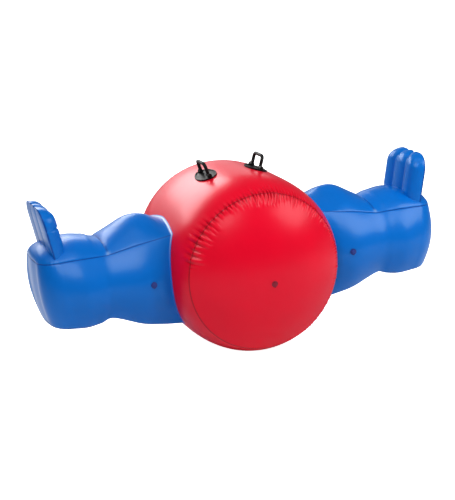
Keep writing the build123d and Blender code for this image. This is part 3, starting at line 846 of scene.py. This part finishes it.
def build_backrest_panel(prefix, side, kind, rest):
    """Front (inboard) or rear panel of a backrest's three-lobed pillow."""
    across, ups = backrest_grid()
    half = BACKREST_WIDTH / 2
    face, lobe_depth = (-1, FRONT_LOBE_DEPTH) if kind == "front" else (1, REAR_LOBE_DEPTH)
    channels = np.abs(across[:, None] - (2 * np.arange(1, LOBE_COUNT) / LOBE_COUNT - 1)).min(1)
    rows, strains = [], []
    for up in ups:
        over = max(up - (BACKREST_HEIGHT - BACKREST_CORNER), 0)
        shrink = BACKREST_CORNER - math.sqrt(max(BACKREST_CORNER**2 - over**2, 0))
        width = half - shrink
        y = width * across
        notch = rest.notch * fade(channels, 0.12) * (up / BACKREST_HEIGHT) ** 8
        to_top = np.maximum(BACKREST_HEIGHT - up, 0)
        closing = np.sqrt(np.clip(1 - (1 - np.clip(to_top / TOP_CLOSING, 0, 1)) ** 2, 0, 1))
        narrow = (width / half) ** 0.5
        thick = lobe_profile(across, lobe_depth) * closing * narrow
        rooted = 0.82 + 0.18 * min(up / BASE_RISE, 1)
        near_side = np.clip((-across - 0.35) / 0.3, 0, 1)
        crease = np.zeros(len(across))
        for share, slope, strength in LOBE_FOLDS:
            line = share * BACKREST_HEIGHT + slope * (y + half)
            crease += strength * fade(up - line, FOLD_REACH) * near_side
        thick = thick * rooted - rest.crease * crease * (side < 0)
        thick = np.maximum(thick, 0)
        outer_lobe = np.abs(across) > 1 - 1 / LOBE_COUNT
        blown = np.where(outer_lobe, np.clip(thick / lobe_depth, 0, 1), closing)
        depth = face * thick + rest.seam_shift * (1 - blown)
        rise = up - notch
        x = BACKREST_PLACE + rise * math.sin(BACKREST_LEAN) + depth * math.cos(BACKREST_LEAN)
        z = rise * math.cos(BACKREST_LEAN) - depth * math.sin(BACKREST_LEAN)
        rows.append(np.stack([side * x, y, AXIS_HEIGHT + CORNER_ROW[2] + z], -1))
        # A channel's weld is pale, up to a little below its top.
        strains.append(0.6 * fade(channels * half, 0.0030) * (up < 0.86 * BACKREST_HEIGHT))
    points = np.array(rows)
    from_top = from_outer_end(points)
    edges = np.minimum(from_edges(points), from_top)
    # Seam lines: a weld's darker line with painted shade of its groove.
    welds = fade(edges, SEAM_REACH)
    strains = np.array(strains) * fade(np.maximum(0.05 - from_top, 0), 0.02)
    name = f"{prefix}_backrest_{kind}_panel"
    faces = grid_faces(*points.shape[:2])
    inside = (side * BACKREST_PLACE, 0, AXIS_HEIGHT + CORNER_ROW[2] + BACKREST_HEIGHT / 2)
    piece = place_film(name, points.reshape(-1, 3), faces, inside, welds, strains)


# ---- Handles and valves -----------------------------------------------------
def dress_node(name, finish):
    """Give a CAD node its finish and keep its shape."""
    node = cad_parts[name]
    node.data.materials.clear()
    node.data.materials.append(finish_of(finish))


# ---- Sizes and colours a user may change -------------------------------------
class SeesawDrum(bpy.types.PropertyGroup):
    """Drum settings."""

    groove: FloatProperty(
        name="Seam groove",
        description="Depth of the pressed line at a rim",
        default=0.0014,
        unit="LENGTH",
    )
    # How dark the rim's weld line is, with the painted shade of its groove and folds.
    weld_and_shade_tone: FloatProperty(
        name="Weld tone", description="How dark the rim weld is", default=0.9, subtype="FACTOR"
    )
    # Strength of the painted shade in the folds between gathers.
    fold_shade_tone: FloatProperty(
        name="Gather tone",
        description="How dark the folds between gathers are",
        default=0.75,
        subtype="FACTOR",
    )
    seed: IntProperty(name="Seed", description="Chooses which gathers are tall", default=7)


class SeesawArms(bpy.types.PropertyGroup):
    """Arm settings."""

    fullness: FloatProperty(
        name="Fullness", description="Lower is squarer across the seat", default=0.66
    )
    foot_fullness: FloatProperty(
        name="Foot fullness", description="Lower is squarer across the arm's foot", default=1.0
    )
    valley_rise: FloatProperty(
        name="Valley rise",
        description="Rise each side of the waist weld",
        default=0.012,
        unit="LENGTH",
    )
    valley_reach: FloatProperty(
        name="Valley reach",
        description="Distance from the waist to that rise",
        default=0.032,
        unit="LENGTH",
    )
    end_bow: FloatProperty(
        name="End bow", description="How far the end bows out", default=0.005, unit="LENGTH"
    )
    groove: FloatProperty(
        name="Seam groove", description="Depth of the pressed line", default=0.0014, unit="LENGTH"
    )
    # How dark the seams are, with the painted shade of their grooves and the waist crease.
    weld_and_shade_tone: FloatProperty(
        name="Weld tone", description="How dark the seams are", default=1.0, subtype="FACTOR"
    )
    gather_height: FloatProperty(
        name="Gathers",
        description="Height of the gathers round a corner",
        default=0.0016,
        unit="LENGTH",
    )
    gather_length: FloatProperty(
        name="Gather length",
        description="How far a gather runs from its seam",
        default=0.026,
        unit="LENGTH",
    )
    gather_count: IntProperty(name="Gather count", description="Gathers round a corner", default=9)


class SeesawBackrests(bpy.types.PropertyGroup):
    """Backrest settings."""

    notch: FloatProperty(
        name="Notch", description="Dip of the top edge at a channel", default=0.010, unit="LENGTH"
    )
    crease: FloatProperty(
        name="Crease",
        description="Depth of the folds across an outer lobe",
        default=0.005,
        unit="LENGTH",
    )
    seam_shift: FloatProperty(
        name="Seam shift",
        description="How far behind the middle the edge seam lies",
        default=0.027,
        unit="LENGTH",
    )


class SeesawFilm(bpy.types.PropertyGroup):
    """Film colours."""

    red: FloatVectorProperty(
        name="Red", description="Drum film", subtype="COLOR", default=linear(0xE60030)[:3]
    )
    blue: FloatVectorProperty(
        name="Blue",
        description="Arm and backrest film",
        subtype="COLOR",
        default=linear(0x0074CC)[:3],
    )


class SeesawStage(bpy.types.PropertyGroup):
    """Stage settings."""

    ambient: FloatProperty(name="Ambient", description="Fill light from all round", default=0.16)
    floor_glow: FloatProperty(
        name="Floor glow", description="How far the floor is lifted to white", default=0.85
    )
    ceiling: FloatProperty(
        name="Ceiling", description="Strength of the soft light from above", default=0.60
    )
    front_power: FloatProperty(
        name="Front", description="Power of the front left softbox", default=66, unit="POWER"
    )
    side_power: FloatProperty(
        name="Side", description="Power of the right softbox", default=72, unit="POWER"
    )
    back_power: FloatProperty(
        name="Back", description="Power of the back softbox", default=95, unit="POWER"
    )
    wall_power: FloatProperty(
        name="Wall", description="Power of the low rear softbox", default=45, unit="POWER"
    )


# ---- Operators -----------------------------------------------------------------
class SEESAW_OT_drum(bpy.types.Operator):
    """Build the drum's barrel wall and its two end caps"""

    bl_idname = "seesaw.drum"
    bl_label = "Drum"

    def execute(self, context):
        drum = context.scene.seesaw_drum
        build_drum_wall(drum)
        build_drum_cap("drum_front_cap", -1, drum)
        build_drum_cap("drum_rear_cap", 1, drum)
        return {"FINISHED"}


class SEESAW_OT_arms(bpy.types.Operator):
    """Build both arms' panels, side walls and weld margins"""

    bl_idname = "seesaw.arms"
    bl_label = "Arms"

    def execute(self, context):
        arm = context.scene.seesaw_arms
        for prefix, side in SIDES.items():
            build_arm_panel(prefix, side, "top", arm)
            build_arm_panel(prefix, side, "bottom", arm)
            build_arm_wall(prefix, side, arm)
            build_arm_flange(prefix, side, arm)
            build_arm_inner_end(prefix, side, arm)
            dress_node(f"{prefix}_arm_waist_baffle", "blue_pvc_film")
        return {"FINISHED"}


class SEESAW_OT_backrests(bpy.types.Operator):
    """Build both backrests' panels and base welds"""

    bl_idname = "seesaw.backrests"
    bl_label = "Backrests"

    def execute(self, context):
        rest = context.scene.seesaw_backrests
        for prefix, side in SIDES.items():
            for kind in ("front", "rear"):
                build_backrest_panel(prefix, side, kind, rest)
            dress_node(f"{prefix}_backrest_webs", "blue_pvc_film")
            dress_node(f"{prefix}_backrest_weld_flange", "blue_pvc_weld")
        return {"FINISHED"}


class SEESAW_OT_handles(bpy.types.Operator):
    """Dress the grab handles' pads and grips"""

    bl_idname = "seesaw.handles"
    bl_label = "Handles"

    def execute(self, context):
        for prefix in SIDES:
            dress_node(f"{prefix}_handle_pad", "moulded_rubber_pad")
            dress_node(f"{prefix}_handle_grip", "moulded_rubber_grip")
        return {"FINISHED"}


class SEESAW_OT_valves(bpy.types.Operator):
    """Dress the three inflation valves"""

    bl_idname = "seesaw.valves"
    bl_label = "Valves"

    def execute(self, context):
        for prefix in ("drum", "right", "left"):
            finish = "red_soft_vinyl" if prefix == "drum" else "blue_soft_vinyl"
            for part in ("seat", "stem", "plug", "flap"):
                dress_node(f"{prefix}_valve_{part}", finish)
        return {"FINISHED"}


def add_softbox(name, place, target, size, power):
    """A round area light at place, turned to target, that the camera doesn't see."""
    lamp = bpy.data.lights.new(name, "AREA")
    lamp.shape = "ELLIPSE"
    lamp.size, lamp.size_y = size
    lamp.energy = power
    holder = bpy.data.objects.new(name, lamp)
    holder.location = place
    holder.rotation_euler = (Vector(target) - Vector(place)).to_track_quat("-Z", "Y").to_euler()
    holder.visible_camera = False
    bpy.context.scene.collection.objects.link(holder)


def aim_camera():
    """Camera in front, to the left and above, rolled as if the seesaw had rocked."""
    yaw, pitch, roll = math.radians(21.09), math.radians(14.8), math.radians(-0.09)
    rock = math.radians(-3.48)
    distance, aside, above = 7.978, 0.0456, -0.0177
    level = Vector((math.cos(yaw), -math.sin(yaw), 0))
    flat = math.cos(pitch)
    forward = Vector((math.sin(yaw) * flat, math.cos(yaw) * flat, -math.sin(pitch)))
    upright = level.cross(forward)
    right = level * math.cos(roll) + upright * math.sin(roll)
    up = upright * math.cos(roll) - level * math.sin(roll)
    untilt = Matrix.Rotation(-rock, 3, "Y")
    right, up, forward = untilt @ right, untilt @ up, untilt @ forward
    lens = bpy.data.cameras.new("camera")
    lens.sensor_width = 36.0
    lens.lens = 100.57
    camera = bpy.data.objects.new("camera", lens)
    turn = Matrix((right, up, -forward)).transposed().to_4x4()
    centre = Vector((0, 0, AXIS_HEIGHT))
    place = centre - right * aside - up * above - forward * distance
    camera.matrix_world = Matrix.Translation(place) @ turn
    bpy.context.scene.collection.objects.link(camera)
    bpy.context.scene.camera = camera


class SEESAW_OT_stage(bpy.types.Operator):
    """Lay the pale floor, hang the softboxes and aim the camera"""

    bl_idname = "seesaw.stage"
    bl_label = "Stage"

    def execute(self, context):
        stage = context.scene.seesaw_stage
        context.scene.view_settings.view_transform = "Standard"
        context.scene.view_settings.look = "Medium High Contrast"
        bpy.ops.mesh.primitive_plane_add(size=120, location=(0, 0, 0))
        floor = context.object
        floor.name = "floor"
        material, tree, place = new_material("pale_paper")
        grain = add_node(
            tree, "ShaderNodeTexNoise", {"Vector": place, "Scale": per_metre(2000)}
        ).outputs[0]
        shade = add_node(
            tree,
            "ShaderNodeMix",
            {"Factor": grain, 6: linear(0xF4F4F4), 7: linear(0xFAFAFA)},
            data_type="RGBA",
        ).outputs[2]
        seen = add_node(tree, "ShaderNodeLightPath").outputs["Is Camera Ray"]
        backlight = add_node(
            tree, "ShaderNodeMath", {0: seen, 1: stage.floor_glow}, operation="MULTIPLY"
        ).outputs[0]
        shader = add_node(
            tree,
            "ShaderNodeBsdfPrincipled",
            {
                "Base Color": shade,
                "Roughness": 0.9,
                "Specular IOR Level": 0.1,
                "Emission Color": linear(0xFFFFFF),
                "Emission Strength": backlight,
            },
        ).outputs[0]
        add_node(tree, "ShaderNodeOutputMaterial", {"Surface": shader})
        floor.data.materials.append(material)

        world = bpy.data.worlds.new("studio")
        context.scene.world = world
        world.use_nodes = True
        sky = world.node_tree
        sky.nodes.clear()
        seen = add_node(sky, "ShaderNodeLightPath").outputs["Is Camera Ray"]
        strength = add_node(
            sky, "ShaderNodeMapRange", {"Value": seen, "To Min": stage.ambient, "To Max": 1.0}
        ).outputs[0]
        white = linear(0xFFFFFF)
        fill = add_node(sky, "ShaderNodeBackground", {"Color": white, "Strength": strength})
        add_node(sky, "ShaderNodeOutputWorld", {"Surface": fill.outputs[0]})

        middle = Vector((0, 0, AXIS_HEIGHT))
        sun = bpy.data.lights.new("ceiling", "SUN")
        sun.energy = stage.ceiling
        sun.angle = math.radians(55)  # a sun this wide lights like a bright ceiling
        ceiling = bpy.data.objects.new("ceiling", sun)
        ceiling.rotation_euler = (math.radians(14), math.radians(-12), 0)
        context.scene.collection.objects.link(ceiling)
        # Softboxes: name, distance, direction from the drum's middle, width and height, power.
        softboxes = (
            ("front_softbox", 4.4, (-0.30, -0.62, 0.73), (2.6, 2.6), stage.front_power),
            ("side_softbox", 4.4, (0.66, -0.50, 0.56), (2.6, 2.6), stage.side_power),
            ("back_softbox", 4.4, (-0.25, 0.78, 0.56), (4.4, 1.8), stage.back_power),
            ("wall_softbox", 1.0, (-0.6, 5.4, 1.7), (8.5, 2.4), stage.wall_power),
        )
        for name, distance, direction, size, power in softboxes:
            add_softbox(name, middle + distance * Vector(direction), middle, size, power)
        aim_camera()
        return {"FINISHED"}


class SEESAW_PT_pieces(bpy.types.Panel):
    """The seesaw's pieces"""

    bl_label = "Seesaw"
    bl_idname = "SEESAW_PT_pieces"
    bl_space_type = "VIEW_3D"
    bl_region_type = "UI"
    bl_category = "Seesaw"

    def draw(self, context):
        for operator in OPERATORS:
            self.layout.operator(operator.bl_idname)


SETTINGS = {
    "seesaw_drum": SeesawDrum,
    "seesaw_arms": SeesawArms,
    "seesaw_backrests": SeesawBackrests,
    "seesaw_film": SeesawFilm,
    "seesaw_stage": SeesawStage,
}
OPERATORS = (
    SEESAW_OT_stage,
    SEESAW_OT_drum,
    SEESAW_OT_arms,
    SEESAW_OT_backrests,
    SEESAW_OT_handles,
    SEESAW_OT_valves,
)


def register():
    for name, group in SETTINGS.items():
        bpy.utils.register_class(group)
        setattr(bpy.types.Scene, name, PointerProperty(type=group))
    for operator in OPERATORS:
        bpy.utils.register_class(operator)
    bpy.utils.register_class(SEESAW_PT_pieces)


def unregister():
    bpy.utils.unregister_class(SEESAW_PT_pieces)
    for operator in reversed(OPERATORS):
        bpy.utils.unregister_class(operator)
    for name, group in SETTINGS.items():
        delattr(bpy.types.Scene, name)
        bpy.utils.unregister_class(group)


def main():
    """Build everything."""
    register()
    bpy.ops.seesaw.stage()
    bpy.ops.seesaw.drum()
    bpy.ops.seesaw.arms()
    bpy.ops.seesaw.backrests()
    bpy.ops.seesaw.handles()
    bpy.ops.seesaw.valves()


if __name__ == "__main__":
    main()
